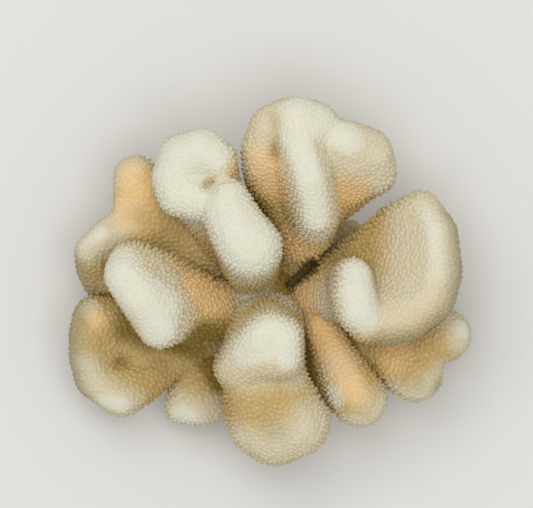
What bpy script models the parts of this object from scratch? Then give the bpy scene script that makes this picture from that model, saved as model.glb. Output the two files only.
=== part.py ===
"""Cauliflower coral skeleton: a colony of thick, warty blades that fork from one short stem.

The colony was cut off flat where it grew on the rock, and stands on that cut. The origin is the middle of
the cut face and +Z is the way the colony grew. Every main fork is a joint between two pieces, with a narrow
gap. Metres everywhere, apart from the station lists, which are millimetres.

A blade is drawn as a net: a list of ribs that run from the fork to the growing edge, each a list of
stations (x, y, z, radius). The four round stations at the corners of each cell of the net are wrapped in
one hull, and all hulls of a blade are melted into one form.
"""

import random

import bmesh
import bpy
from mathutils import Vector
from mathutils.bvhtree import BVHTree

MM = 0.001

# Driving dimensions
MELT_VOXEL = 1.3 * MM
MELT_ROUNDS = 8
SKIN_VOXEL = 2.8 * MM
SKIN_SHARE = 0.242
WART_HEIGHT = 1.5 * MM
WART_CLEARANCE = 3.2 * MM
FORK_GAP = 0.35 * MM
CUT_FACE_MARGIN = 2.0 * MM
ROUND_DIVISIONS = 2

# The short stem: a waisted column on a spread, uneven foot
STEM = [
    [(-1, 0, 1, 23), (-1, -1, 14, 18), (-4, -2, 27, 16), (-6, -3, 40, 11)],
]
STEM_FOOT = [
    [[(-6, 2, 11, 17), (-14, 5, 1, 15)]],
    [[(4, 4, 12, 15), (10, 9, 1, 16)]],
    [[(0, -6, 11, 16), (3, -11, 1, 16)]],
]

# The tall fan at the back: a fold on the left, a crest in the middle and a broad lobe on the right
BACK_FAN = [
    [(-2, 9, 30, 7), (-4, 24, 37, 6), (-4.5, 33.5, 44, 5.5)],
    [(0, 10, 30, 7), (0, 26, 44, 6), (-2, 38, 58, 6), (-6, 50, 70, 7.5), (-6.5, 56, 75, 7.5)],
    [(1, 10, 31, 7), (1, 27, 48, 6), (-1, 40, 61, 6), (-3, 53, 73, 7), (-2, 65, 80, 8.3)],
    [(3, 11, 32, 7), (5, 26, 50, 6), (4, 40, 63, 5), (2, 52, 71, 5), (1.5, 60, 77, 6), (3, 68, 81, 7.5)],
    [(6, 13, 34, 7.5), (14, 22, 56, 8), (16, 29, 76, 7.5), (13, 44, 84, 8), (9.5, 57, 85, 8), (8, 68, 84, 8.6)],
    [(8, 14, 33, 6.5), (18, 26, 48, 5.5), (22, 36, 60, 6), (20, 47, 69, 6), (17, 57, 76, 7), (16, 66, 81, 8)],
    [(8, 15, 32, 6), (18.5, 27, 47, 5.5), (24, 38, 60, 6), (24, 48, 71, 7), (21, 60, 78, 7.5)],
    [(8, 16, 32, 6), (19.5, 29, 46, 5.5), (27, 39.5, 60, 7), (28, 50, 73, 9), (27, 58.5, 79, 8.7)],
    [(8, 17, 31, 6), (21, 31, 43, 5.5), (32.5, 41, 57, 6.5), (39.5, 46.5, 66, 8.5), (37, 55, 74, 8.8)],
]

# The high fork on the left of the back: a broad head with a dimple, and a long white ridge before it
HEAD = [
    [(-11, 5, 32, 9), (-19, 20, 50, 9), (-26, 31, 62, 9), (-28, 34, 71, 8), (-31, 36, 78, 8.6)],
    [(-12, 5, 32, 9), (-22, 21, 50, 9), (-30, 33, 62, 9), (-36, 37, 71, 8.5), (-38.5, 37.5, 77, 9)],
    [(-12, 6, 32, 9), (-24, 24, 52, 9), (-34, 38, 66, 9), (-36, 43, 73, 9), (-41.3, 44, 77, 8.8)],
    [(-11, 7, 32, 9), (-23, 27, 54, 9), (-32, 42, 67, 9), (-33, 47, 73, 9), (-38, 52.5, 78, 9.3)],
    [(-10, 8, 32, 9), (-21, 28, 56, 8), (-27, 43, 67, 8), (-29, 48, 73, 8), (-30, 55.5, 80, 8.6)],
    [(-9, 9, 32, 9), (-18, 28, 58, 8), (-22, 42, 68, 7), (-23.5, 47, 73, 7.5), (-24, 51, 79, 8)],
]
RIDGE = [
    [(-9, 8, 34, 8), (-17, 24, 58, 8), (-21, 35, 72, 7), (-19.5, 36.5, 83, 7.6)],
    [(-9, 6, 34, 8), (-17, 21, 60, 8), (-20, 30, 76, 9), (-19.5, 32, 82, 10.3)],
    [(-9, 5, 34, 9), (-14, 15, 60, 10), (-15, 22, 76, 10), (-15.5, 23.5, 83, 11.4)],
    [(-8, 4, 34, 9), (-11, 10, 56, 11), (-10, 14, 74, 11), (-10.5, 17, 82, 12.6)],
]

# The low shelf under that fork, with a round knob and a long lip
SHELF = [
    [(-14, 4, 28, 8), (-30, 22, 38, 11), (-46, 33, 46, 9), (-57, 44.5, 50, 8.8)],
    [(-14, 2, 28, 8), (-31, 18, 39, 11), (-47, 26, 47, 9), (-59.5, 27.5, 48, 6)],
    [(-14, 1, 27, 8), (-33, 13, 37, 10), (-51, 19, 43, 8), (-68, 21.5, 49, 6.5)],
    [(-14, 0, 26, 8), (-34, 9, 34, 9), (-57, 13, 37, 7), (-67, 12, 38, 6), (-75.5, 15, 46, 5.5)],
    [(-14, -1, 26, 8), (-34, 6, 32, 8), (-58, 5, 36, 7), (-69, 6, 36, 6), (-75.5, 8.5, 41, 5.3)],
    [(-14, -2, 26, 8), (-34, 4, 31, 8), (-60, 2, 34, 6.5), (-72.5, 2.5, 36, 5.8)],
]

# The blade on the left
LEFT_BLADE = [
    [(-12, -3, 32, 8), (-26, -3, 48, 6.5), (-36, 2, 58, 7), (-46, 7, 66, 7), (-59, 10, 73, 8.3)],
    [(-12, -6, 32, 8), (-27, -7, 52, 7), (-37, -3, 63, 7.5), (-47, 0, 71, 8), (-60.5, 5, 78, 8.6)],
    [(-12, -8, 30, 8), (-26, -10, 49, 8), (-36, -8, 62, 8), (-45, -6, 73, 9), (-54, -3.5, 79, 9.5)],
    [(-11, -10, 30, 8), (-22, -13, 48, 8), (-33, -13, 56, 8), (-42, -13, 67, 8.5), (-47, -15, 74, 9)],
]

# The low cupped fan at the front left
CUPPED_FAN = [
    [(-16, -9, 22, 9), (-45, -17, 28, 8), (-61, -12, 36, 8), (-74, -12, 43, 8)],
    [(-16, -10, 22, 8), (-46, -22, 28, 8), (-64, -20, 34, 7), (-76, -19, 43, 7.5)],
    [(-16, -12, 22, 8), (-48, -27, 27, 8), (-65, -29, 29, 6), (-76, -28, 40, 7.5)],
    [(-15, -14, 21, 8), (-48, -31, 26, 8), (-63, -35, 29, 6), (-74, -37, 38, 7)],
    [(-14, -15, 20, 8), (-46, -32, 26, 7.5), (-55, -38, 31, 8), (-63, -43, 35, 8.7)],
]

# The small knob between the cupped fan and the front branch
SMALL_KNOB = [
    [(-12, -16, 18, 8), (-33, -34, 23, 7), (-39, -48, 26, 6)],
    [(-10, -17, 18, 8), (-32, -37, 24, 7), (-32, -49, 28, 6)],
    [(-9, -17, 18, 8), (-29, -35, 23, 7), (-26, -48.5, 25, 5.6)],
]

# The front branch: a high round head and a lower, broader one outside it
FRONT_HEAD = [
    [(-8, -9, 32, 9), (-9.5, -20, 54, 9.5), (-12, -28.5, 61, 10.5), (-14, -31, 66, 11)],
    [(-6, -8, 33, 9), (-9, -16, 55, 9.5), (-7, -21, 68, 9.5), (-6, -20.5, 79, 8.6)],
    [(-2, -7, 34, 9), (-4, -12, 54, 9), (-3, -16, 68, 8.5), (-3, -17, 80, 8)],
    [(1, -8, 33, 9), (1, -15, 54, 9), (2, -20, 68, 8.5), (2.2, -19, 80, 7.6)],
    [(0, -10, 32, 9), (0, -24, 54, 10), (1.5, -28, 66, 8.5), (1.5, -28, 78, 8.4)],
    [(-2, -10, 32, 9), (-6, -25, 54, 10), (-6, -28, 64, 10), (-5, -27, 76, 9.4)],
    [(-8, -9, 32, 9), (-9.5, -20, 54, 9.5), (-12, -28.5, 61, 10.5), (-14, -31, 66, 11)],
]
FRONT_FOOT = [
    [(-5, -14, 28, 9), (-9, -37, 63, 12), (-6, -54, 54, 13.5)],
    [(-1, -14, 28, 9), (-4, -38, 65, 12), (-1, -58, 52, 13)],
    [(2, -12, 28, 9), (-1, -36, 63, 12), (7, -54, 55, 14)],
]

# The finger at the front right, with a low wall along its inner side
FINGER = [
    [(5, -10, 24, 8), (13, -20, 28, 6), (16, -33, 31, 5.5)],
    [(8, -8, 30, 8), (17, -15, 40, 7), (23, -27, 46, 8), (29.5, -39, 50, 10.5), (33.5, -45, 51, 10.9)],
]

# The great curled fan on the right: a rim that runs round it and turns in to a tall white crest
RIGHT_FAN = [
    [(13, 0, 31, 7), (27, 11, 44, 6), (38, 19, 54, 6), (48, 27, 63, 6.5), (58, 32, 70, 7)],
    [(12, -1, 32, 8), (29, 9, 47, 7), (41, 14, 57, 7), (53, 20, 67, 7.5), (64, 22, 76, 8)],
    [(12, -2, 32, 8), (30, 5, 50, 8), (42, 7, 60, 7.5), (54, 8, 69, 8), (65, 6, 78, 8.8)],
    [(12, -3, 32, 8), (30, 0, 52, 8), (42, 0, 62, 7.5), (52, -1, 70, 8), (62, -4, 77, 9)],
    [(11, -4, 32, 8), (28, -3, 52, 8), (38, -5, 64, 7), (46, -8, 72, 8), (52, -12, 76, 8.7)],
    [(11, -5, 32, 8), (26, -5, 50, 8), (32, -8, 62, 8), (38, -12, 71, 8), (43, -14.5, 74, 8.2)],
]
CREST = [
    [(27, 2, 50, 7), (29, 4, 66, 7.5), (30.8, 4.5, 78, 7.4)],
    [(27, 0, 50, 7), (29, -1, 66, 8), (31, -2, 80, 8.5)],
    [(28, -4, 52, 7), (31, -7, 66, 8), (32.4, -8.5, 79, 8.8)],
    [(30, -7, 52, 7), (35, -11, 66, 8), (37, -13.5, 76, 8.4)],
]

# The low fan under it, with two lobes
LOW_FAN = [
    [(11, -7, 24, 7), (28, -20, 33, 6), (45, -24, 42, 6.5), (60, -20, 48, 8), (68, -19, 50, 10)],
    [(11, -8, 24, 7), (28, -21, 33, 6), (44, -26, 42, 7), (57, -26.5, 47, 8)],
    [(11, -9, 24, 7), (28, -22, 32, 6), (43, -28, 41, 7), (51, -33, 46, 9.5), (56, -35, 48, 10.7)],
]

# The short stub at the back right
STUB = [
    [(9, 8, 24, 6), (23, 18, 30, 6), (30, 22.5, 32, 4.8)],
]

# The deep crevice between the stems of the back fan and the right fan
CREVICE = [
    [(5.5, 1.5, 58, 3.2), (5.5, 1.5, 22, 2)],
    [(14, 9.5, 60, 3.6), (14, 9.5, 18, 2.2)],
]
CREVICED = ("stem", "back_fan", "high_fork", "front_branch", "right_fan")

# Name, nets and colour of every piece, in the order in which each is fitted to those before it
PIECES = [
    ("stem", [STEM, *STEM_FOOT], (0.60, 0.50, 0.34)),
    ("back_fan", [BACK_FAN], (0.80, 0.72, 0.54)),
    ("high_fork", [HEAD, RIDGE], (0.84, 0.80, 0.68)),
    ("left_blade", [LEFT_BLADE], (0.82, 0.77, 0.64)),
    ("front_branch", [FRONT_HEAD, FRONT_FOOT], (0.82, 0.78, 0.64)),
    ("right_fan", [RIGHT_FAN, CREST], (0.80, 0.74, 0.58)),
    ("shelf", [SHELF], (0.72, 0.62, 0.42)),
    ("cupped_fan", [CUPPED_FAN], (0.74, 0.66, 0.48)),
    ("finger", [FINGER], (0.74, 0.64, 0.46)),
    ("low_fan", [LOW_FAN], (0.76, 0.68, 0.50)),
    ("small_knob", [SMALL_KNOB], (0.70, 0.62, 0.44)),
    ("stub", [STUB], (0.62, 0.56, 0.44)),
]


def clear_scene():
    for old in list(bpy.data.objects):
        bpy.data.objects.remove(old)


def new_collection(name):
    made = bpy.data.collections.new(name)
    bpy.context.scene.collection.children.link(made)
    return made


def new_object(name, mesh, collection):
    made = bpy.data.objects.new(name, mesh)
    collection.objects.link(made)
    return made


def mesh_from(bm, name):
    mesh = bpy.data.meshes.new(name)
    bm.to_mesh(mesh)
    bm.free()
    return mesh


def skeleton_material(name, colour):
    """Dry aragonite, a little lighter or darker from piece to piece."""
    made = bpy.data.materials.new(name)
    made.use_nodes = True
    shader = made.node_tree.nodes["Principled BSDF"]
    shader.inputs["Base Color"].default_value = (*colour, 1)
    shader.inputs["Roughness"].default_value = 0.85
    shader.inputs["Metallic"].default_value = 0.0
    return made


def round_points():
    """The corners of a unit ball, as directions."""
    bm = bmesh.new()
    bmesh.ops.create_icosphere(bm, subdivisions=ROUND_DIVISIONS, radius=1)
    found = [corner.co.copy() for corner in bm.verts]
    bm.free()
    return found


def add_hull(bm, stations, ball):
    """Wraps the balls at these stations in one convex skin."""
    points = [
        bm.verts.new((Vector(station[:3]) + direction * station[3]) * MM)
        for station in stations
        for direction in ball
    ]
    made = bmesh.ops.convex_hull(bm, input=points)
    unused = {
        item
        for item in made["geom_interior"] + made["geom_unused"]
        if isinstance(item, bmesh.types.BMVert)
    }
    bmesh.ops.delete(bm, geom=list(unused), context="VERTS")


def cells(net):
    """The groups of neighbouring stations that share a hull: squares between two ribs, or links along one."""
    if len(net) == 1:
        rib = net[0]
        return [(rib[i], rib[i + 1]) for i in range(len(rib) - 1)]
    found = []
    for near, far in zip(net, net[1:]):
        steps = max(len(near), len(far)) - 1
        for i in range(steps):
            corners = [rib[min(j, len(rib) - 1)] for rib in (near, far) for j in (i, i + 1)]
            found.append(tuple(dict.fromkeys(corners)))
    return found


def net_mesh(name, nets, ball):
    """All hulls of the nets together, still crossing each other."""
    whole = bmesh.new()
    for net in nets:
        for stations in cells(net):
            cell = bmesh.new()
            add_hull(cell, stations, ball)
            part = mesh_from(cell, name)
            whole.from_mesh(part)
            bpy.data.meshes.remove(part)
    return mesh_from(whole, name)


def melted(name, nets, ball, collection):
    """One smooth closed form from the crossing hulls, with even faces a few millimetres wide."""
    form = new_object(name, net_mesh(name, nets, ball), collection)
    melt = form.modifiers.new("melt", "REMESH")
    melt.mode = "VOXEL"
    melt.voxel_size = MELT_VOXEL
    ease = form.modifiers.new("ease", "SMOOTH")
    ease.factor = 0.5
    ease.iterations = MELT_ROUNDS
    skin = form.modifiers.new("skin", "REMESH")
    skin.mode = "VOXEL"
    skin.voxel_size = SKIN_VOXEL
    thin = form.modifiers.new("thin", "DECIMATE")
    thin.ratio = SKIN_SHARE
    even = form.modifiers.new("even", "SMOOTH")
    even.factor = 0.4
    even.iterations = 1
    facets = form.modifiers.new("facets", "TRIANGULATE")
    facets.min_vertices = 4
    return applied(form)


def applied(form):
    """The object with its modifiers made part of its mesh."""
    graph = bpy.context.evaluated_depsgraph_get()
    mesh = bpy.data.meshes.new_from_object(form.evaluated_get(graph))
    form.modifiers.clear()
    form.data = mesh
    return form


def cut_flat(form):
    """Cuts the foot off level with the rock that it grew on."""
    bm = bmesh.new()
    bm.from_mesh(form.data)
    everything = bm.verts[:] + bm.edges[:] + bm.faces[:]
    bmesh.ops.bisect_plane(bm, geom=everything, plane_co=(0, 0, 0), plane_no=(0, 0, -1), clear_outer=True)
    rim = [edge for edge in bm.edges if edge.is_boundary]
    bmesh.ops.contextual_create(bm, geom=rim)
    bmesh.ops.recalc_face_normals(bm, faces=bm.faces[:])
    bm.to_mesh(form.data)
    bm.free()


def at_fork(point, trees):
    """Whether the point is inside one of the other pieces, or close to it."""
    for tree in trees:
        nearest, outward, _, distance = tree.find_nearest(point)
        if distance < WART_CLEARANCE or (point - nearest).dot(outward) < 0:
            return True
    return False


def raise_warts(form, others):
    """Lifts corners that aren't neighbours into warts, away from the cut face and from other pieces."""
    bm = bmesh.new()
    bm.from_mesh(form.data)
    bm.normal_update()
    trees = [BVHTree.FromObject(other, bpy.context.evaluated_depsgraph_get()) for other in others]
    fixed = {corner for corner in bm.verts if corner.co.z < CUT_FACE_MARGIN or at_fork(corner.co, trees)}
    level = set()
    lifted = []
    in_turn = list(bm.verts)
    random.Random(len(in_turn)).shuffle(in_turn)
    for corner in in_turn:
        if corner in level or corner in fixed:
            continue
        around = {edge.other_vert(corner) for edge in corner.link_edges}
        if around & fixed:
            continue
        level |= around
        lifted.append((corner, corner.normal.copy()))
    for corner, way in lifted:
        corner.co += way * WART_HEIGHT
    bm.to_mesh(form.data)
    bm.free()


def boxes_meet(one, other):
    """Whether the boxes round two forms meet."""
    low_a, high_a = box_of(one)
    low_b, high_b = box_of(other)
    return all(low_a[i] < high_b[i] and low_b[i] < high_a[i] for i in range(3))


def box_of(form):
    points = [corner.co for corner in form.data.vertices]
    low = [min(point[i] for point in points) - FORK_GAP for i in range(3)]
    high = [max(point[i] for point in points) + FORK_GAP for i in range(3)]
    return low, high


def cutter_of(form, collection):
    """A copy of the form, fatter all round by the gap at a fork."""
    cutter = new_object(form.name + "_cutter", form.data.copy(), collection)
    cutter.hide_render = True
    cutter.display_type = "WIRE"
    grow = cutter.modifiers.new("grow", "DISPLACE")
    grow.mid_level = 0
    grow.strength = FORK_GAP
    return applied(cutter)


def keep_largest(form):
    """Drops any crumb that a cut has parted from the piece."""
    bm = bmesh.new()
    bm.from_mesh(form.data)
    left = set(bm.verts)
    islands = []
    while left:
        reached = {left.pop()}
        edge_of_search = list(reached)
        while edge_of_search:
            corner = edge_of_search.pop()
            for edge in corner.link_edges:
                far = edge.other_vert(corner)
                if far not in reached:
                    reached.add(far)
                    edge_of_search.append(far)
        left -= reached
        islands.append(reached)
    largest = max(islands, key=len)
    crumbs = [corner for island in islands if island is not largest for corner in island]
    bmesh.ops.delete(bm, geom=crumbs, context="VERTS")
    bm.to_mesh(form.data)
    bm.free()


def take_away(form, cutter):
    cut = form.modifiers.new("fork", "BOOLEAN")
    cut.operation = "DIFFERENCE"
    cut.solver = "EXACT"
    cut.object = cutter


def fit_to(form, earlier, cutters):
    """Cuts the form back from the pieces that it forks from."""
    for other, cutter in zip(earlier, cutters):
        if boxes_meet(form, other):
            take_away(form, cutter)
    applied(form)
    keep_largest(form)


def build():
    clear_scene()
    coral = new_collection("cauliflower_coral")
    helpers = new_collection("cutters")
    ball = round_points()
    forms = [melted(name, nets, ball, coral) for name, nets, _ in PIECES]
    cut_flat(forms[0])
    cutters = [cutter_of(form, helpers) for form in forms]
    for form in forms:
        raise_warts(form, [other for other in forms if other is not form])
    crevice = new_object("crevice_cutter", net_mesh("crevice_cutter", [CREVICE], ball), helpers)
    crevice.hide_render = True
    crevice.display_type = "WIRE"
    for i, form in enumerate(forms):
        if form.name in CREVICED:
            take_away(form, crevice)
        fit_to(form, forms[:i], cutters[:i])
    for form, (name, _, colour) in zip(forms, PIECES):
        form.data.materials.clear()
        form.data.materials.append(skeleton_material(name, colour))
        form.data.shade_smooth()


build()
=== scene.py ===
"""The skeleton of a cauliflower coral, seen from above: warty blades that fork from one short stem.

Each branch is grown from a net of stations, melted into one soft form, stained and painted with shade, and
covered in warts.
"""

import bpy
import numpy as np
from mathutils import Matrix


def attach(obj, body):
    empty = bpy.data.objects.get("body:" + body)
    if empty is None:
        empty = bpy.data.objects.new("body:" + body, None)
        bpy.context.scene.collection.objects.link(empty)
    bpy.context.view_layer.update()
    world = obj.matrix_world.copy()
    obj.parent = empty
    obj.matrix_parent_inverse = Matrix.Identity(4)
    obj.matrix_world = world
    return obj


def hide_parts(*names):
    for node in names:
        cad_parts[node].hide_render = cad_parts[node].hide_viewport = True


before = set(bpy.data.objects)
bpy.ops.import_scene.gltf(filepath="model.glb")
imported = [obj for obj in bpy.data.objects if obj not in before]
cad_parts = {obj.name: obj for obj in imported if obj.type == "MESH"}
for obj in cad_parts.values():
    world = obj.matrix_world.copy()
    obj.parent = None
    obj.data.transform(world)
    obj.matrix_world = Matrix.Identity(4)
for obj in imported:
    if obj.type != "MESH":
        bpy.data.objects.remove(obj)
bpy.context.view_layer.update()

# Camera
# The photo looks straight down on the colony, from so far that high and low branches keep one scale. A
# pixel is 0.4 mm, read off the spacing of the warts. The stem stands right of the middle of the picture,
# and below it.
MM = 0.001
PIXEL = 0.4 * MM
PICTURE_WIDTH = 533 * PIXEL
PICTURE_MIDDLE = (-10.5 * PIXEL, 34 * PIXEL)
AIM_HEIGHT = 50 * MM
EYE_DISTANCE = 4.0
FILM_WIDTH = 36
bpy.ops.object.camera_add(location=(*PICTURE_MIDDLE, AIM_HEIGHT + EYE_DISTANCE), rotation=(0, 0, 0))
camera = bpy.context.object
camera.data.sensor_width = FILM_WIDTH
camera.data.lens = FILM_WIDTH * EYE_DISTANCE / PICTURE_WIDTH
camera.data.clip_end = 20
bpy.context.scene.camera = camera
bpy.context.scene.view_settings.view_transform = "Standard"

# Floor
# A plain tabletop, pale, matt and unmarked. It is wide enough to run out of every view, and the colony
# stands on it on the flat cut of its stem.


def linear(code):
    """A colour in hex, as it looks on a screen, as the linear values that a shader takes."""
    found = []
    for start in (1, 3, 5):
        value = int(code[start : start + 2], 16) / 255
        found.append(value / 12.92 if value <= 0.04045 else ((value + 0.055) / 1.055) ** 2.4)
    return (*found, 1)


bpy.ops.mesh.primitive_plane_add(size=6, location=(0, 0, 0))
floor = bpy.context.object
floor.name = "floor"
tabletop = bpy.data.materials.new("matt_tabletop")
tabletop.use_nodes = True
tabletop.node_tree.nodes["Principled BSDF"].inputs["Base Color"].default_value = linear("#D9D8D5")
tabletop.node_tree.nodes["Principled BSDF"].inputs["Roughness"].default_value = 0.9
floor.data.materials.append(tabletop)

# Light
# A broad soft lamp high at the far left, a second almost straight above the colony, and a pale studio all
# round. Together they leave the soft shade between the branches that the photo has.
bpy.ops.object.light_add(type="AREA", location=(-0.2, 0.33, 1.12), rotation=(-0.287, -0.177, 0))
side_lamp = bpy.context.object
side_lamp.data.size = 0.5
side_lamp.data.energy = 2.9
bpy.ops.object.light_add(type="AREA", location=(0.06, -0.04, 1.2), rotation=(0.03, 0.05, 0))
top_lamp = bpy.context.object
top_lamp.data.size = 0.5
top_lamp.data.energy = 4.6
studio = bpy.data.worlds.new("studio")
studio.use_nodes = True
studio.node_tree.nodes["Background"].inputs["Color"].default_value = linear("#F4F4F2")
studio.node_tree.nodes["Background"].inputs["Strength"].default_value = 0.7
bpy.context.scene.world = studio

# Skeleton material
# Aragonite, the chalky mineral that the polyps lay down, dry and matt. It is white where it is fresh, at the
# growing edges, and stained tan to orange on the older flanks. It is darker between the warts than on them,
# partly by its own colour and partly as painted shade in the hollows. The olive tone is painted shade in
# crevices, gaps and hollows, and partly real stain in the head's dimple. The grey tone is painted shade on
# edges and slopes turned from the light, and the grey of the stub. Clouds of stain, fine specks and the tiny
# cups that the polyps sat in break it up.
TONES = {
    "flank": ("#B69C62", "#EBDAB2"),
    "warm": ("#DCB67C", "#FAE0AE"),
    # Olive: painted shade in crevices, gaps and hollows, and partly real stain in the dimple
    "olive_stain_and_painted_shade": ("#826A28", "#C0A85C"),
    "fresh": ("#CFCDBB", "#E4E6DE"),
    # Grey: painted shade on edges and slopes turned from the light, and the grey of the stub
    "grey_and_painted_shade": ("#8E8567", "#C2BA9E"),
}
CLOUDED = "#DCC59A"
SPECKLED = "#FFF8E8"
CLOUD_WIDTH = 14 * MM
SPECK_WIDTH = 1.1 * MM
CUP_WIDTH = 0.87 * MM
CUP_DEPTH = 0.25 * MM


def add_node(tree, kind, links=(), **settings):
    """A node with its settings, and its inputs filled from values, outputs or a node's first output."""
    made = tree.nodes.new(kind)
    for setting, value in settings.items():
        setattr(made, setting, value)
    for socket, source in dict(links).items():
        if isinstance(source, bpy.types.Node):
            source = next(output for output in source.outputs if output.enabled)
        if isinstance(source, bpy.types.NodeSocket):
            tree.links.new(source, made.inputs[socket])
        else:
            made.inputs[socket].default_value = source
    return made


skeleton = bpy.data.materials.new("aragonite_skeleton")
skeleton.use_nodes = True
tree = skeleton.node_tree
growth_stain_and_shade = add_node(tree, "ShaderNodeAttribute", attribute_name="growth_stain_and_shade")
shares = add_node(tree, "ShaderNodeSeparateColor", {"Color": growth_stain_and_shade.outputs["Color"]})
wart = add_node(tree, "ShaderNodeAttribute", attribute_name="wart").outputs["Fac"]
where = add_node(tree, "ShaderNodeTexCoord").outputs["Object"]
tones = {}
# A colour mix takes its share on socket 0, and its two colours on sockets 6 and 7
# Each tone is darker between the warts than on them: partly its own colour, partly painted shade in the
# hollows
for tone, (between_warts, on_warts) in TONES.items():
    ends = {0: wart, 6: linear(between_warts), 7: linear(on_warts)}
    tones[tone] = add_node(tree, "ShaderNodeMix", ends, data_type="RGBA")
body = tones["flank"]
# The olive and the grey tones laid on here are mostly painted shade
for tone, share in (
    ("warm", shares.outputs["Green"]),
    ("olive_stain_and_painted_shade", shares.outputs["Blue"]),
    ("fresh", shares.outputs["Red"]),
    ("grey_and_painted_shade", growth_stain_and_shade.outputs["Alpha"]),
):
    body = add_node(tree, "ShaderNodeMix", {0: share, 6: body, 7: tones[tone]}, data_type="RGBA")
clouds = add_node(tree, "ShaderNodeTexNoise", {"Vector": where, "Scale": 1 / CLOUD_WIDTH, "Detail": 3})
cloud_range = {"Value": clouds, "From Min": 0.35, "From Max": 0.7, "To Max": 0.1}
clouds = add_node(tree, "ShaderNodeMapRange", cloud_range)
body = add_node(tree, "ShaderNodeMix", {0: clouds, 6: body, 7: linear(CLOUDED)}, data_type="RGBA")
specks = add_node(tree, "ShaderNodeTexNoise", {"Vector": where, "Scale": 1 / SPECK_WIDTH, "Detail": 2})
speck_range = {"Value": specks, "From Min": 0.3, "From Max": 0.7, "To Max": 0.14}
specks = add_node(tree, "ShaderNodeMapRange", speck_range)
speckled = {0: specks, 6: body, 7: linear(SPECKLED)}
body = add_node(tree, "ShaderNodeMix", speckled, data_type="RGBA", blend_type="MULTIPLY")
cups = add_node(tree, "ShaderNodeTexVoronoi", {"Vector": where, "Scale": 1 / CUP_WIDTH}, feature="F1")
pitted = add_node(tree, "ShaderNodeBump", {"Strength": 0.35, "Distance": CUP_DEPTH, "Height": cups})
shader = tree.nodes["Principled BSDF"]
shader.inputs["Roughness"].default_value = 0.82
shader.inputs["Specular IOR Level"].default_value = 0.3
tree.links.new(body.outputs[2], shader.inputs["Base Color"])
tree.links.new(pitted.outputs["Normal"], shader.inputs["Normal"])

# Stem
# The short, waisted column that the whole colony stands on, old worn aragonite with low warts, cut off flat
# where it met the rock. It grew, as each branch did, so its form is a soft skin over balls at listed
# stations.

# Grain of the melted skin
MELT = 1.06 * MM
# Distance apart and height of the coarse warts, and of the fine ones
WART_SPACING = 1.75 * MM
WART_HEIGHT = 1.6 * MM
FINE_SPACING = 1.15 * MM
FINE_HEIGHT = 0.24 * MM
# How far a wart's foot reaches, as a share of that distance, and how far it leans, as a share of its height
DOME_REACH = 0.56
LEAN = 0.35
# Middle of the colony, in mm, which its outer sides face away from
AXIS = (-5, -2)
# Strength of a pale stain, and of the grey and painted shade
PALE_SHARE = 0.6
GREY_AND_SHADE_SHARE = 0.7
# The deep gap in the middle of the colony, cut out of each branch beside it
CREVICE = [[(5.5, 1.5, 58, 3.6), (5.5, 1.5, 22, 2.4)], [(14, 9.5, 60, 4.2), (14, 9.5, 18, 2.6)]]


def cells(net):
    """The groups of neighbouring stations that share a skin: squares between two ribs, or links along one.

    A station is (x, y, z, radius) in mm, a rib is a row of stations up a branch, and a net is ribs in order.
    """
    if len(net) == 1:
        return list(zip(net[0], net[0][1:]))
    found = []
    for near, far in zip(net, net[1:]):
        for i in range(max(len(near), len(far)) - 1):
            corners = [rib[min(j, len(rib) - 1)] for rib in (near, far) for j in (i, i + 1)]
            found.append(tuple(dict.fromkeys(corners)))
    return found


def alter(piece, kind, **settings):
    """Adds a modifier to the piece and applies it."""
    modifier = piece.modifiers.new(kind.lower(), kind)
    for setting, value in settings.items():
        setattr(modifier, setting, value)
    bpy.ops.object.modifier_apply(modifier=modifier.name)


def skinned(name, *nets):
    """A new piece: balls at the stations of each cell, in edit mode, with one convex skin round them."""
    bpy.ops.object.select_all(action="DESELECT")
    bpy.ops.mesh.primitive_ico_sphere_add(radius=MM)
    piece = bpy.context.object
    piece.name = name
    bpy.ops.object.mode_set(mode="EDIT")
    bpy.ops.mesh.delete(type="VERT")
    for net in nets:
        for stations in cells(net):
            for x, y, z, radius in stations:
                bpy.ops.mesh.primitive_ico_sphere_add(
                    subdivisions=2, radius=radius * MM, location=(x * MM, y * MM, z * MM)
                )
            bpy.ops.mesh.select_all(action="SELECT")
            bpy.ops.mesh.convex_hull()
            bpy.ops.mesh.hide()
    bpy.ops.mesh.reveal()
    bpy.ops.object.mode_set(mode="OBJECT")
    return piece


def grown(name, *nets, pits=()):
    """The skins melted into one soft form, with any pits cut out of it first."""
    cutters = []
    for pit in pits:
        cutters.append(skinned(name + "_pit", pit))
        alter(cutters[-1], "REMESH", mode="VOXEL", voxel_size=MELT)
    piece = skinned(name, *nets)
    alter(piece, "REMESH", mode="VOXEL", voxel_size=MELT)
    for cutter in cutters:
        alter(piece, "BOOLEAN", operation="DIFFERENCE", solver="EXACT", object=cutter)
        bpy.data.objects.remove(cutter)
    alter(piece, "SMOOTH", factor=0.5, iterations=10)
    return piece


def nearness(points, bands):
    """For each point, 1 inside the nearest of these bands of round spots, falling softly to 0 outside it.

    A spot is (x, y, z, radius) in mm. It is full out to 0.4 of its radius, and gone at 1.3 of it.
    """
    best = np.zeros(len(points))
    for band in bands:
        ends = band if len(band) > 1 else band * 2
        for (ax, ay, az, ar), (bx, by, bz, br) in zip(ends, ends[1:]):
            a = np.array((ax, ay, az))
            along = np.array((bx, by, bz)) - a
            t = np.clip((points - a) @ along / max(along @ along, 1e-9), 0, 1)
            gap = np.linalg.norm(points - a - t[:, None] * along, axis=1)
            reach = ar + t * (br - ar)
            best = np.maximum(best, np.clip((1.3 - gap / reach) / 0.9, 0, 1))
    return best * best * (3 - 2 * best)


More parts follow.
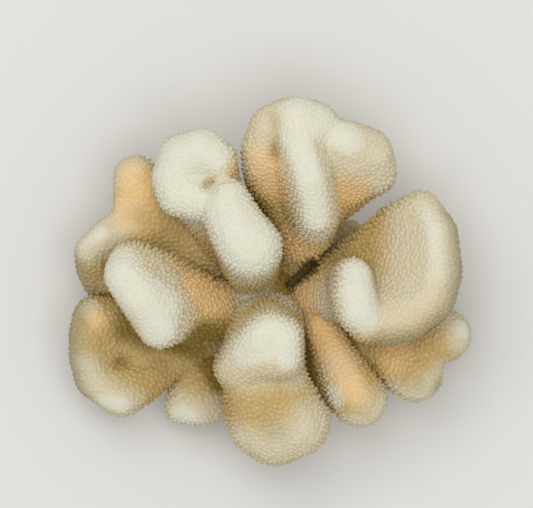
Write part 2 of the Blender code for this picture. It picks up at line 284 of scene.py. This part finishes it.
def paint_stain_and_shade(piece, fresh=(), pale=(), warm=(), olive_stain_and_painted_shade=(), grey_and_painted_shade=(), bold=(), worn=0.6):
    """Stores how fresh and warm each point is, its olive stain and painted shade, its grey and painted
    shade, and how coarse the warts are there.

    Each stain and each painted shade is given as bands of spots, and pale is a weaker fresh. The warts are
    tallest in the bold bands, tall on the flanks that face into the colony, low on the growing tops and, by
    the worn share, low on the outer sides.
    """
    mesh = piece.data
    points = np.empty(len(mesh.vertices) * 3)
    normals = np.empty(len(mesh.vertices) * 3)
    mesh.vertices.foreach_get("co", points)
    mesh.vertex_normals.foreach_get("vector", normals)
    points = points.reshape(-1, 3) / MM
    normals = normals.reshape(-1, 3)
    warmth = nearness(points, warm)
    # Olive painted shade in crevices, gaps and hollows, and some real stain
    olive_stain_and_shade_share = nearness(points, olive_stain_and_painted_shade)
    freshness = np.maximum(nearness(points, fresh), PALE_SHARE * nearness(points, pale))
    # Where a stain meets the white, the olive stain and painted shade hides 0.85 of it, and a warm one 0.6
    freshness = freshness * (1 - 0.85 * olive_stain_and_shade_share) * (1 - 0.6 * warmth)
    # Grey painted shade on edges turned from the light, and the grey of the stub
    grey_and_shade_share = GREY_AND_SHADE_SHARE * nearness(points, grey_and_painted_shade)
    stored = mesh.attributes.new("growth_stain_and_shade", "FLOAT_COLOR", "POINT")
    stored.data.foreach_set("color", np.stack([freshness, warmth, olive_stain_and_shade_share, grey_and_shade_share], axis=1).ravel())
    outward = points[:, :2] - AXIS
    outward /= np.linalg.norm(outward, axis=1)[:, None] + 1e-6
    # Outer is 1 on sides that face away from the axis, and top is 1 where the skeleton faces up
    outer = np.clip((np.sum(outward * normals[:, :2], axis=1) - 0.3) / 0.5, 0, 1)
    top = np.clip((normals[:, 2] - 0.55) / 0.35, 0, 1)
    tall = (1 - 0.8 * freshness * top) * (1 - 0.3 * freshness) * (1 - worn * outer) * (1 - 0.5 * warmth)
    # The warts die away over the lowest 3 mm, above the flat cut
    tall *= np.clip(points[:, 2] / 3, 0, 1)
    tall *= 1 + 0.6 * nearness(points, bold)
    coarse = mesh.attributes.new("coarse", "FLOAT", "POINT")
    coarse.data.foreach_set("value", tall)


def wart_nodes():
    """Geometry nodes that raise the warts, and store how near each point is to the tip of its wart.

    A dome stands round each of a set of evenly scattered points, and leans the way that the branch grew.
    Coarse domes stand on the flanks, and fine ones where the skeleton is fresh.
    """
    tree = bpy.data.node_groups.new("warts", "GeometryNodeTree")
    tree.interface.new_socket("Geometry", in_out="INPUT", socket_type="NodeSocketGeometry")
    tree.interface.new_socket("Geometry", in_out="OUTPUT", socket_type="NodeSocketGeometry")
    surface = add_node(tree, "NodeGroupInput")
    share = add_node(tree, "GeometryNodeInputNamedAttribute", {"Name": "coarse"}, data_type="FLOAT")
    normal = add_node(tree, "GeometryNodeInputNormal")
    # Uphill is what is left of straight up along the surface
    rise = add_node(tree, "ShaderNodeVectorMath", {0: normal, 1: (0, 0, 1)}, operation="DOT_PRODUCT")
    risen = add_node(tree, "ShaderNodeVectorMath", {0: normal, "Scale": rise}, operation="SCALE")
    uphill = add_node(tree, "ShaderNodeVectorMath", {0: (0, 0, 1), 1: risen}, operation="SUBTRACT")
    domes = []
    for spacing, seed in ((WART_SPACING, 3), (FINE_SPACING, 8)):
        even = {"Mesh": surface, "Distance Min": spacing, "Density Max": 4 / spacing**2, "Seed": seed}
        dots = add_node(tree, "GeometryNodeDistributePointsOnFaces", even, distribute_method="POISSON")
        nearest = add_node(tree, "GeometryNodeProximity", {0: dots}, target_element="POINTS")
        # A dome is 1 at its dot, and falls to 0 at its reach
        reach = {0: nearest.outputs["Distance"], 1: spacing * DOME_REACH}
        away = add_node(tree, "ShaderNodeMath", reach, operation="DIVIDE")
        away = add_node(tree, "ShaderNodeMath", {0: away, 1: 1.0}, operation="MINIMUM")
        away = add_node(tree, "ShaderNodeMath", {0: away, 1: 1.5}, operation="POWER")
        dome = add_node(tree, "ShaderNodeMath", {0: 1.0, 1: away}, operation="SUBTRACT")
        # Each is 0.75 to 1.25 of the full height, by chance
        chance = add_node(tree, "ShaderNodeTexWhiteNoise", {"Vector": nearest.outputs["Position"]})
        size = add_node(tree, "ShaderNodeMath", {0: chance, 1: 0.5, 2: 0.75}, operation="MULTIPLY_ADD")
        domes.append((dome, add_node(tree, "ShaderNodeMath", {0: dome, 1: size}, operation="MULTIPLY")))
    (coarse, tall), (fine, low) = domes
    # A coarse wart is half as tall on level ground as on a wall
    steepness = add_node(tree, "ShaderNodeMath", {0: rise, 1: 0.5}, operation="MULTIPLY")
    steepness = add_node(tree, "ShaderNodeMath", {0: 1.0, 1: steepness}, operation="SUBTRACT")
    for factor in (share, WART_HEIGHT, steepness):
        tall = add_node(tree, "ShaderNodeMath", {0: tall, 1: factor}, operation="MULTIPLY")
    # The fine warts fill in where the coarse ones are low
    rest = add_node(tree, "ShaderNodeMath", {0: 1.0, 1: share}, operation="SUBTRACT", use_clamp=True)
    for factor in (rest, FINE_HEIGHT):
        low = add_node(tree, "ShaderNodeMath", {0: low, 1: factor}, operation="MULTIPLY")
    # All of them rise straight out of the surface, and the coarse ones lean uphill too
    height = add_node(tree, "ShaderNodeMath", {0: tall, 1: low}, operation="ADD")
    out = add_node(tree, "ShaderNodeVectorMath", {0: normal, "Scale": height}, operation="SCALE")
    slant = add_node(tree, "ShaderNodeMath", {0: tall, 1: LEAN}, operation="MULTIPLY")
    lean = add_node(tree, "ShaderNodeVectorMath", {0: uphill, "Scale": slant}, operation="SCALE")
    offset = add_node(tree, "ShaderNodeVectorMath", {0: out, 1: lean}, operation="ADD")
    moved = add_node(tree, "GeometryNodeSetPosition", {"Geometry": surface, "Offset": offset})
    # What the material reads, to be lighter on the warts than between them, partly as painted shade in the
    # hollows
    shown = add_node(tree, "ShaderNodeMix", {0: share, 2: fine, 3: coarse}, data_type="FLOAT")
    shown = add_node(tree, "ShaderNodeMath", {0: shown, 1: 1.5}, operation="POWER")
    kept = {"Geometry": moved, "Name": "wart", "Value": shown}
    stored = add_node(tree, "GeometryNodeStoreNamedAttribute", kept, data_type="FLOAT", domain="POINT")
    add_node(tree, "NodeGroupOutput", {0: stored})
    return tree


WARTS = wart_nodes()


def finish_piece(piece, solid):
    """Divides the skin once, raises the warts, and puts the piece in the place of its solid."""
    alter(piece, "SUBSURF", levels=1, render_levels=1)
    alter(piece, "NODES", node_group=WARTS)
    piece.data.shade_smooth()
    piece.data.materials.append(skeleton)
    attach(piece, "root")
    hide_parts(solid)


stem = grown(
    "stem_skeleton",
    [[(-1, 0, 1, 23), (-1, -1, 14, 18), (-4, -2, 27, 16), (-6, -3, 40, 11)]],
    [[(-6, 2, 11, 17), (-14, 5, 1, 15)]],
    [[(4, 4, 12, 15), (10, 9, 1, 16)]],
    [[(0, -6, 11, 16), (3, -11, 1, 16)]],
    pits=[CREVICE],
)
# The olive bands down into the crevice are painted shade
paint_stain_and_shade(stem, pale=[[(-9, -4, 50, 10)]], olive_stain_and_painted_shade=[[(1, -1, 46, 7), (6, 2, 34, 12), (14, 9, 24, 12)]])
finish_piece(stem, "stem")
bpy.ops.object.mode_set(mode="EDIT")
bpy.ops.mesh.select_all(action="SELECT")
bpy.ops.mesh.bisect(plane_co=(0, 0, 0), plane_no=(0, 0, 1), use_fill=True, clear_inner=True, threshold=1e-6)
bpy.ops.object.mode_set(mode="OBJECT")

# Back fan
# The tall blade at the back, one growth with the stem: a fold on its left, a white crest down the middle and
# a broad lobe on its right. Fresh aragonite runs along the crest and the top, and the troughs are stained
# orange. Painted shade darkens the trough beside the crest, the low wall by the stem and the root by the
# crevice.
back_fan = grown(
    "back_fan_skeleton",
    [
        [(-2, 9, 30, 7), (-4, 24, 37, 6), (-4.5, 33.5, 44, 5.5)],
        [(0, 10, 30, 7), (0, 26, 44, 6), (-2, 38, 58, 6), (-6, 50, 70, 7.5), (-6.5, 56, 75, 7.5)],
        [(1, 10, 31, 7), (1, 27, 48, 6), (-1, 40, 61, 6), (-3, 53, 73, 7), (-2, 65, 80, 8.3)],
        [
            (3, 11, 32, 7),
            (5, 26, 50, 6),
            (4, 40, 63, 5),
            (2, 52, 73, 5.5),
            (1.5, 60, 77.5, 6),
            (3, 68, 80, 7.5),
        ],
        [
            (6, 13, 34, 7.5),
            (14, 22, 56, 8),
            (16, 29, 76, 7.5),
            (13, 44, 84, 8),
            (9.5, 57, 85, 8),
            (8, 68, 84, 8.6),
        ],
        [
            (8, 14, 33, 6.5),
            (18, 26, 48, 5.5),
            (22, 36, 60, 6),
            (20, 47, 69, 6),
            (17, 57, 76, 7),
            (16, 66, 81, 8),
        ],
        [(8, 15, 32, 6), (18.5, 27, 47, 5.5), (24, 38, 60, 6), (24, 48, 71, 7), (21, 60, 78, 7.5)],
        [(8, 16, 32, 6), (19.5, 29, 46, 5.5), (27, 39.5, 60, 7), (28, 50, 73, 9), (27, 58.5, 79, 8.7)],
        [(8, 17, 31, 6), (21, 31, 43, 5.5), (32.5, 41, 57, 6.5), (39.5, 46.5, 66, 8.5), (37, 55, 74, 8.8)],
    ],
    pits=[CREVICE],
)
paint_stain_and_shade(
    back_fan,
    fresh=[
        [(4, 72, 90, 10), (8, 57, 92, 9), (12, 46, 91, 8), (15, 35, 88, 8), (15, 27, 84, 8)],
        [(10, 72, 92, 13), (20, 66, 90, 13), (28, 60, 89, 12)],
        [(46, 50, 86, 12)],
    ],
    pale=[
        [(-4, 70, 86, 13), (-9, 62, 84, 14), (-10, 52, 80, 11), (-8, 44, 74, 8)],
        [(30, 57, 88, 22), (42, 52, 80, 18), (44, 44, 72, 13)],
        [(10, 60, 86, 16), (14, 38, 82, 13), (16, 24, 74, 12)],
    ],
    warm=[[(-5, 49, 80, 10), (-3, 41, 72, 10)], [(28, 42, 68, 12)], [(10, 18, 56, 11)]],
    # The olive bands are painted shade: the trough beside the crest, and the low wall by the stem
    olive_stain_and_painted_shade=[[(1, 66, 83.5, 5.8), (1, 56, 80, 5.8)], [(-6, 34, 52, 11), (-3, 18, 36, 12)]],
    # Grey painted shade low by the crevice
    grey_and_painted_shade=[[(26, 26, 46, 6), (10, 12, 44, 6)]],
    bold=[[(10, 18, 56, 12)], [(28, 34, 58, 9)]],
)
finish_piece(back_fan, "back_fan")

# High fork
# The high fork at the back left, grown from the stem in two arms: a broad head and a long ridge in front of
# it. Both are white, fresh aragonite. The head has a dimple, partly stained and partly darkened with painted
# shade, and a groove parts it from the ridge.
high_fork = grown(
    "high_fork_skeleton",
    [
        [(-11, 5, 32, 9), (-19, 20, 50, 9), (-26, 31, 62, 9), (-28, 34, 71, 8), (-31, 36, 78, 8.6)],
        [(-12, 5, 32, 9), (-22, 21, 50, 9), (-30, 33, 62, 9), (-36, 37, 71, 8.5), (-38.5, 37.5, 77, 9)],
        [(-12, 6, 32, 9), (-24, 24, 52, 9), (-34, 38, 66, 9), (-36, 43, 73, 9), (-41.3, 44, 77, 8.8)],
        [(-11, 7, 32, 9), (-23, 27, 54, 9), (-32, 42, 67, 9), (-33, 47, 73, 9), (-38, 52.5, 78, 9.3)],
        [(-10, 8, 32, 9), (-21, 28, 56, 8), (-27, 43, 67, 8), (-29, 48, 73, 8), (-30, 55.5, 80, 8.6)],
        [(-9, 9, 32, 9), (-18, 28, 58, 8), (-22, 42, 68, 7), (-23.5, 47, 73, 7.5), (-24, 51, 79, 8)],
    ],
    [
        [(-9, 8, 34, 8), (-17, 24, 58, 8), (-21, 35, 72, 7), (-19.5, 36.5, 83, 7.6)],
        [(-9, 6, 34, 8), (-17, 21, 60, 8), (-20, 30, 76, 9), (-19.5, 32, 82, 10.3)],
        [(-9, 5, 34, 9), (-14, 15, 60, 10), (-15, 22, 76, 10), (-15.5, 23.5, 83, 11.4)],
        [(-8, 4, 34, 9), (-11, 10, 56, 11), (-10, 14, 74, 11), (-10.5, 17, 82, 12.6)],
    ],
    pits=[
        CREVICE,
        [[(-27.8, 41.5, 97, 9), (-28, 41, 84, 2.4)]],
        [[(-13, 45.5, 87, 3.6), (-21, 44, 86.5, 2.8), (-28, 41.5, 86.5, 3)]],
    ],
)
paint_stain_and_shade(
    high_fork,
    fresh=[
        [(-31, 34, 84, 15), (-40, 40, 82, 16), (-42, 50, 82, 16), (-30, 56, 84, 16), (-24, 52, 84, 11)],
        [(-19.5, 35, 88, 13), (-19.5, 32, 88, 17), (-15, 24, 90, 18), (-11, 16, 90, 19)],
    ],
    pale=[
        [(-32, 34, 74, 18), (-42, 46, 72, 20), (-29, 56, 74, 16)],
        [(-18, 32, 78, 18), (-11, 15, 78, 20)],
        [(-12, -2, 46, 11)],
    ],
    warm=[[(-16, 48, 82, 6)]],
    # The olive spot in the dimple is partly real stain and partly painted shade
    olive_stain_and_painted_shade=[[(-28, 41, 80, 4)]],
)
finish_piece(high_fork, "high_fork")

# Shelf
# The low shelf that grew out under that fork, with a round knob at its back and a long lip at its end. It
# lies in shade, so its aragonite is old and tan, orange round the knob and pale only along the lip. Painted
# shade darkens its troughs and the gap under the left blade, and greys the outer end of the lip.
shelf = grown(
    "shelf_skeleton",
    [
        [(-14, 4, 28, 8), (-30, 22, 38, 11), (-46, 33, 46, 9), (-57, 44.5, 50, 8.8)],
        [(-14, 2, 28, 8), (-31, 18, 39, 11), (-47, 26, 47, 9), (-59.5, 27.5, 48, 6)],
        [(-14, 1, 27, 8), (-33, 13, 37, 10), (-51, 19, 43, 8), (-68, 21.5, 49, 6.5)],
        [(-14, 0, 26, 8), (-34, 9, 34, 9), (-57, 13, 37, 7), (-67, 12, 38, 6), (-75.5, 15, 46, 5.5)],
        [(-14, -1, 26, 8), (-34, 6, 32, 8), (-58, 5, 36, 7), (-69, 6, 36, 6), (-75.5, 8.5, 41, 5.3)],
        [(-14, -2, 26, 8), (-34, 4, 31, 8), (-60, 2, 34, 6.5), (-72.5, 2.5, 36, 5.8)],
    ],
)
paint_stain_and_shade(
    shelf,
    fresh=[[(-80, 17, 53, 5), (-72, 22, 56, 6)]],
    pale=[
        [(-58, 53, 55, 10), (-65, 46, 52, 9)],
        [(-62, 29, 54, 9), (-68, 23, 55, 10), (-77, 16, 52, 9)],
        [(-18, 0, 38, 10)],
    ],
    warm=[[(-56, 42, 60, 11)], [(-57, 32, 54, 11)]],
    # The olive bands are painted shade in the troughs and along the gap under the left blade
    olive_stain_and_painted_shade=[
        [(-52, 29, 46, 11), (-44, 22, 44, 10)],
        [(-48, 14, 42, 6), (-34, 8, 38, 8), (-26, 3, 36, 8)],
        [(-66, 10, 43, 5)],
    ],
    # Grey painted shade on the outer end of the lip
    grey_and_painted_shade=[[(-81, 8, 43, 8), (-77, 0, 37, 9)]],
)
finish_piece(shelf, "shelf")

# Left blade
# The thick blade at the left, grown up and outwards from the stem. Its top edge is white, fresh aragonite,
# and its back flank has long warts that point up at that edge.
left_blade = grown(
    "left_blade_skeleton",
    [
        [(-12, -3, 32, 8), (-26, -3, 48, 6.5), (-36, 2, 58, 7), (-46, 7, 66, 7), (-59, 10, 73, 8.3)],
        [(-12, -6, 32, 8), (-27, -7, 52, 7), (-37, -3, 63, 7.5), (-47, 0, 71, 8), (-60.5, 5, 78, 8.6)],
        [(-12, -8, 30, 8), (-26, -10, 49, 8), (-36, -8, 62, 8), (-45, -6, 73, 9), (-54, -3.5, 79, 9.5)],
        [(-11, -10, 30, 8), (-22, -13, 48, 8), (-33, -13, 56, 8), (-42, -13, 67, 8.5), (-47, -15, 74, 9)],
    ],
)
paint_stain_and_shade(
    left_blade,
    fresh=[
        [(-63, 9, 82, 12), (-58, 1, 87, 14), (-50, -4, 89, 17), (-46, -9, 86, 15), (-47, -16, 81, 11)],
    ],
    pale=[[(-58, 6, 76, 17), (-45, -5, 82, 19), (-44, -14, 76, 16)], [(-14, -6, 42, 10)]],
    warm=[[(-26, -5, 58, 10), (-33, 0, 68, 8)]],
    # The olive bands are painted shade: on the flank turned down to the front, and along the gap above the
    # shelf
    olive_stain_and_painted_shade=[[(-34, -18, 64, 7), (-26, -18, 54, 10)], [(-38, 9, 50, 7), (-26, 3, 42, 8)]],
    bold=[[(-54, 13, 76, 10), (-40, 5, 70, 10)], [(-26, -16, 58, 9)]],
)
finish_piece(left_blade, "left_blade")

# Cupped fan
# The low fan at the front left, grown from the foot of the stem and hollowed like a palm. The hollow is old
# aragonite, darkened olive with painted shade, as is the strip under the left blade, and the rolled rim is
# paler, white only at its front, its left edge greyed with painted shade.
cupped_fan = grown(
    "cupped_fan_skeleton",
    [
        [(-16, -9, 22, 9), (-45, -17, 28, 8), (-61, -12, 36, 8), (-74, -12, 43, 8)],
        [(-16, -10, 22, 8), (-46, -22, 28, 8), (-64, -20, 34, 7), (-76, -19, 43, 7.5)],
        [(-16, -12, 22, 8), (-48, -27, 27, 8), (-65, -29, 29, 6), (-76, -28, 40, 7.5)],
        [(-15, -14, 21, 8), (-48, -31, 26, 8), (-63, -35, 29, 6), (-74, -37, 38, 7)],
        [(-14, -15, 20, 8), (-46, -32, 26, 7.5), (-55, -38, 31, 8), (-63, -43, 35, 8.7)],
    ],
)
paint_stain_and_shade(
    cupped_fan,
    fresh=[[(-70, -46, 43, 5), (-62, -48, 43, 6)]],
    pale=[[(-80, -34, 44, 11), (-72, -45, 42, 12), (-60, -49, 40, 10)], [(-75, -8, 48, 5)]],
    warm=[[(-72, -12, 53, 6)]],
    # The olive bands are painted shade in the hollow, at its inner end and under the left blade
    olive_stain_and_painted_shade=[
        [(-62, -15, 42, 7), (-52, -18, 36, 8)],
        [(-66, -31, 33, 8)],
        [(-50, -31, 26, 9)],
        [(-42, -23, 37, 5), (-30, -27, 34, 6)],
    ],
    # Grey painted shade along the left edge
    grey_and_painted_shade=[[(-83, -13, 45, 11), (-85, -28, 40, 11), (-80, -41, 36, 9)]],
)
finish_piece(cupped_fan, "cupped_fan")

# Small knob
# A small knob low at the front, on a neck that grew from the foot of the stem. It is tan aragonite with a
# pale, flared end.
small_knob = grown(
    "small_knob_skeleton",
    [
        [(-12, -16, 18, 8), (-33, -34, 23, 7), (-39, -48, 26, 6)],
        [(-10, -17, 18, 8), (-32, -37, 24, 7), (-32, -49, 28, 6)],
        [(-9, -17, 18, 8), (-29, -35, 23, 7), (-26, -48.5, 25, 5.6)],
    ],
)
paint_stain_and_shade(
    small_knob,
    fresh=[[(-38, -53, 32, 9), (-32, -56, 30, 7)]],
    pale=[[(-41, -50, 30, 11), (-32, -54, 32, 11), (-23, -52, 28, 10)]],
    # The olive band on the neck is painted shade under the left blade
    olive_stain_and_painted_shade=[[(-28, -26, 28, 8), (-25, -39, 28, 4)]],
    worn=0.0,
)
finish_piece(small_knob, "small_knob")

# Front branch
# The front branch, which forked from the stem in two: a high round head of white, fresh aragonite, and
# outside it a lower, broader one that is tan at the saddle and paler towards its rim.
front_branch = grown(
    "front_branch_skeleton",
    [
        [(-8, -9, 32, 9), (-9.5, -20, 54, 9.5), (-12, -28.5, 61, 10.5), (-14, -31, 66, 11)],
        [(-6, -8, 33, 9), (-9, -16, 55, 9.5), (-7, -21, 68, 9.5), (-6, -20.5, 79, 8.6)],
        [(-2, -7, 34, 9), (-4, -12, 54, 9), (-3, -16, 68, 8.5), (-3, -17, 80, 8)],
        [(1, -8, 33, 9), (1, -15, 54, 9), (2, -20, 68, 8.5), (2.2, -19, 80, 7.6)],
        [(0, -10, 32, 9), (0, -24, 54, 10), (1.5, -28, 66, 8.5), (1.5, -28, 78, 8.4)],
        [(-2, -10, 32, 9), (-6, -25, 54, 10), (-6, -28, 64, 10), (-5, -27, 76, 9.4)],
        [(-8, -9, 32, 9), (-9.5, -20, 54, 9.5), (-12, -28.5, 61, 10.5), (-14, -31, 66, 11)],
    ],
    [
        [(-5, -14, 28, 9), (-9, -37, 63, 12), (-6, -54, 54, 13.5)],
        [(-1, -14, 28, 9), (-4, -38, 65, 12), (-1, -58, 52, 13)],
        [(2, -12, 28, 9), (-1, -36, 63, 12), (7, -54, 55, 14)],
    ],
    pits=[CREVICE],
)
paint_stain_and_shade(
    front_branch,
    fresh=[[(-12, -25, 80, 9), (-7, -20, 88, 13), (2, -19, 88, 13), (5, -26, 86, 9)]],
    pale=[
        [(-14, -26, 74, 16), (0, -20, 78, 19), (8, -30, 72, 12)],
        [(-12, -62, 58, 13), (2, -68, 58, 17), (16, -56, 62, 17)],
        [(-13, -5, 50, 11)],
        [(2, -8, 52, 9)],
    ],
    # Grey painted shade at the saddle and on the front end of the outer head
    grey_and_painted_shade=[[(-22, -26, 67, 7)], [(-2, -62, 76, 10)]],
    bold=[[(-18, -50, 56, 10)]],
    worn=0.15,
)
finish_piece(front_branch, "front_branch")

# Finger
# The finger at the front right, grown low from the stem. Its back is warm tan aragonite, its inner flank is
# darkened olive with painted shade, and its tip is pale.
finger = grown(
    "finger_skeleton",
    [
        [(5, -10, 24, 8), (13, -20, 28, 6), (16, -33, 31, 5.5)],
        [(8, -8, 30, 8), (17, -15, 40, 7), (23, -27, 46, 8), (29.5, -39, 50, 10.5), (33.5, -45, 51, 10.9)],
    ],
)
paint_stain_and_shade(
    finger,
    fresh=[[(22, -43, 57, 6.5)]],
    pale=[[(30, -56, 52, 10), (45, -47, 52, 11)], [(36, -42, 71, 12)], [(24, -32, 54, 9)]],
    warm=[[(18, -18, 47, 8), (25, -31, 58, 8), (30, -40, 66, 9)]],
    # The olive band is painted shade on the inner flank
    olive_stain_and_painted_shade=[[(8, -12, 36, 8), (13, -26, 38, 10), (18, -38, 38, 8)]],
)
finish_piece(finger, "finger")

# Right fan
# The great curled fan on the right, grown from the stem: its rim runs round it and turns in to a tall crest.
# The crest is white, fresh aragonite, the bowl is tan with coarse warts, and the outer rim is greyed with
# painted shade.
right_fan = grown(
    "right_fan_skeleton",
    [
        [(13, 0, 31, 7), (27, 11, 44, 6), (38, 19, 54, 6), (48, 27, 63, 6.5), (58, 32, 70, 7)],
        [(12, -1, 32, 8), (29, 9, 47, 7), (41, 14, 57, 7), (53, 20, 67, 7.5), (64, 22, 76, 8)],
        [(12, -2, 32, 8), (30, 5, 50, 8), (42, 7, 60, 7.5), (54, 8, 69, 8), (65, 6, 78, 8.8)],
        [(12, -3, 32, 8), (30, 0, 52, 8), (42, 0, 62, 7.5), (52, -1, 70, 8), (62, -4, 77, 9)],
        [(11, -4, 32, 8), (28, -3, 52, 8), (38, -5, 64, 7), (46, -8, 72, 8), (52, -12, 76, 8.7)],
        [(11, -5, 32, 8), (26, -5, 50, 8), (32, -8, 62, 8), (38, -12, 71, 8), (43, -14.5, 74, 8.2)],
    ],
    [
        [(27, 2, 50, 7), (29, 4, 66, 7.5), (30.8, 4.5, 78, 7.4)],
        [(27, 0, 50, 7), (29, -1, 66, 8), (31, -2, 80, 8.5)],
        [(28, -4, 52, 7), (31, -7, 66, 8), (32.4, -8.5, 79, 8.8)],
        [(30, -7, 52, 7), (35, -11, 66, 8), (37, -13.5, 76, 8.4)],
    ],
    pits=[CREVICE],
)
paint_stain_and_shade(
    right_fan,
    fresh=[
        [(31, 7, 84, 10), (31, -2, 88, 12), (34, -9, 86, 12)],
        [(60, 8, 95, 15), (61, 23, 92, 15), (57, 33, 87, 14)],
    ],
    pale=[
        [(46, -6, 78, 15), (57, 4, 80, 20), (58, 16, 80, 22), (57, 28, 76, 18)],
        [(31, -3, 76, 17)],
        [(20, -7, 56, 15)],
    ],
    warm=[[(12, -4, 44, 10)]],
    # The olive spots are painted shade beside the crest and at the crevice
    olive_stain_and_painted_shade=[[(37, 5, 62, 6)], [(16, 7, 40, 6)]],
    # Grey painted shade along the outer rim
    grey_and_painted_shade=[[(76, 28, 76, 12), (78, 10, 78, 13), (74, -5, 78, 12), (61, -20, 75, 10), (44, -23, 76, 9)]],
    bold=[[(30, 14, 52, 8), (50, 28, 68, 8)]],
)
finish_piece(right_fan, "right_fan")

# Low fan
# The low fan that grew under it, thin tan aragonite that is warm near the stem and ends in two pale lobes.
# The outer sides of the lobes are greyed with painted shade.
low_fan = grown(
    "low_fan_skeleton",
    [
        [(11, -7, 24, 7), (28, -20, 33, 6), (45, -24, 42, 6.5), (60, -20, 48, 8), (68, -19, 50, 10)],
        [(11, -8, 24, 7), (28, -21, 33, 6), (44, -26, 42, 7), (57, -26.5, 47, 8)],
        [(11, -9, 24, 7), (28, -22, 32, 6), (43, -28, 41, 7), (51, -33, 46, 9.5), (56, -35, 48, 10.7)],
    ],
)
paint_stain_and_shade(
    low_fan,
    fresh=[[(76, -16, 58, 7)]],
    pale=[
        [(74, -9, 57, 12), (80, -22, 55, 12)],
        [(69, -38, 53, 11), (56, -46, 50, 11), (46, -44, 51, 9)],
    ],
    warm=[[(46, -27, 52, 9)]],
    # The olive band is painted shade at the root, under the right fan
    olive_stain_and_painted_shade=[[(27, -19, 38, 7), (34, -27, 38, 4)]],
    # Grey painted shade on the outer sides of the lobes
    grey_and_painted_shade=[[(67, -40, 54, 6)], [(57, -41, 64, 8)]],
)
finish_piece(low_fan, "low_fan")

# Stub
# The short stub low between the two tall fans, fused to the stem beside the crevice and half hidden. It is
# coloured grey, and darkened with painted shade by the crevice.
stub = grown("stub_skeleton", [[(9, 8, 24, 6), (23, 18, 30, 6), (30, 22.5, 32, 4.8)]], pits=[CREVICE])
# The stub is greyed all over, and darkened olive with painted shade by the crevice
paint_stain_and_shade(stub, olive_stain_and_painted_shade=[[(10, 9, 30, 9)]], grey_and_painted_shade=[[(20, 16, 34, 12), (30, 22, 36, 14)]])
finish_piece(stub, "stub")
